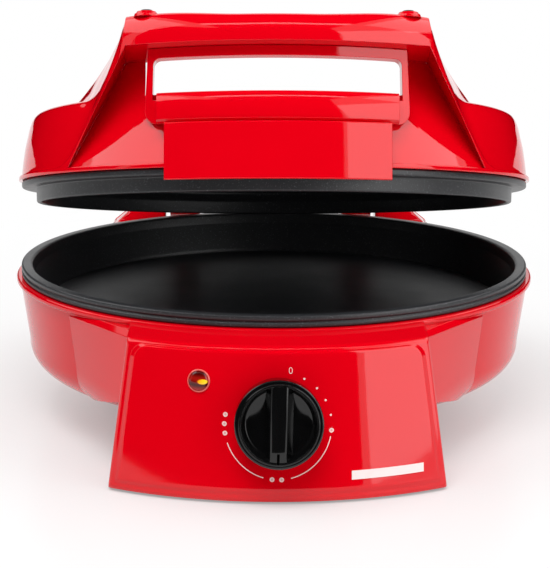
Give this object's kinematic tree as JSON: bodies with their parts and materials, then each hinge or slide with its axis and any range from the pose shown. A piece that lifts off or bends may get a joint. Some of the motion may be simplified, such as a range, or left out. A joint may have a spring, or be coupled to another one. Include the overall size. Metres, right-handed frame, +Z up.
{
  "type": "electric pizza maker",
  "caption": "Countertop electric pizza maker: a round heated pan under a hinged, heated lid with an open bar handle, and a control box with lamp and thermostat knob.",
  "frame": {"origin": "at table height, under the middle of the whole machine with the lid as pictured", "axes": "+Z up, -Y towards the control box at the front, +X to the right seen from the front; the lid's pivot runs along X"},
  "size_m": [0.3406, 0.4278, 0.2703],
  "materials": {
    "red_housing": "high gloss heat-resistant red plastic",
    "coated_plate": "cast aluminium under a black speckled non-stick coating",
    "heater_sheath": "heat-tinted steel sheath",
    "shield_sheet": "thin bright sheet",
    "black_knob": "gloss black phenolic",
    "brass_shaft": "turned",
    "black_rubber": "matt",
    "amber_lens": "clear dark amber",
    "black_plastic": "matt moulded",
    "pale_resin": "heat-proof pale resin",
    "plain_steel": "zinc plated"
  },
  "bodies": {
    "base": {"base_housing": "red_housing", "lower_plate": "coated_plate", "lower_element": "heater_sheath", "lower_heat_shield": "shield_sheet", "lower_element_clip_1": "plain_steel", "lower_element_clip_2": "plain_steel", "lower_element_clip_3": "plain_steel", "base_screw_1": "plain_steel", "base_screw_2": "plain_steel", "base_screw_3": "plain_steel", "control_box": "red_housing", "control_fascia": "red_housing", "box_bottom_cover": "black_plastic", "front_foot_left": "black_rubber", "front_foot_right": "black_rubber", "lamp_lens": "amber_lens", "lamp_body": "black_plastic", "thermostat_body": "pale_resin", "thermostat_bracket": "plain_steel", "rear_housing": "red_housing", "rear_bottom_cover": "black_plastic", "rear_foot_left": "black_rubber", "rear_foot_right": "black_rubber", "hinge_pin_left": "plain_steel", "hinge_pin_right": "plain_steel", "cord_bushing": "black_rubber", "cord_clamp": "black_plastic", "terminal_block": "pale_resin", "thermal_fuse": "plain_steel"},
    "knob": {"knob": "black_knob", "thermostat_shaft": "brass_shaft"},
    "lid": {"lid_housing": "red_housing", "handle_frame": "red_housing", "front_tongue": "red_housing", "handle_foot_left": "black_rubber", "handle_foot_right": "black_rubber", "upper_plate": "coated_plate", "upper_element": "heater_sheath", "upper_heat_shield": "shield_sheet", "upper_element_clip_1": "plain_steel", "upper_element_clip_2": "plain_steel", "upper_element_clip_3": "plain_steel", "lid_screw_1": "plain_steel", "lid_screw_2": "plain_steel", "lid_screw_3": "plain_steel", "lid_screw_plug_1": "red_housing", "lid_screw_plug_2": "red_housing", "lid_screw_plug_3": "red_housing", "hinge_arm_left": "red_housing", "hinge_arm_right": "red_housing", "hinge_arm_screw_left": "plain_steel", "hinge_arm_screw_right": "plain_steel"}
  },
  "joints": [
    {"name": "lid_hinge", "type": "hinge", "parent": "base", "child": "lid", "pos_m": [0, 0.2026, 0.0998], "axis": [-1, 0, 0], "range_deg": [-12.84, 167.46]},
    {"name": "knob_turn", "type": "hinge", "parent": "base", "child": "knob", "pos_m": [0, -0.19302, 0.0472], "axis": [0, -0.9842, 0.1771], "range_deg": [-88.5, 169.8]}
  ]
}
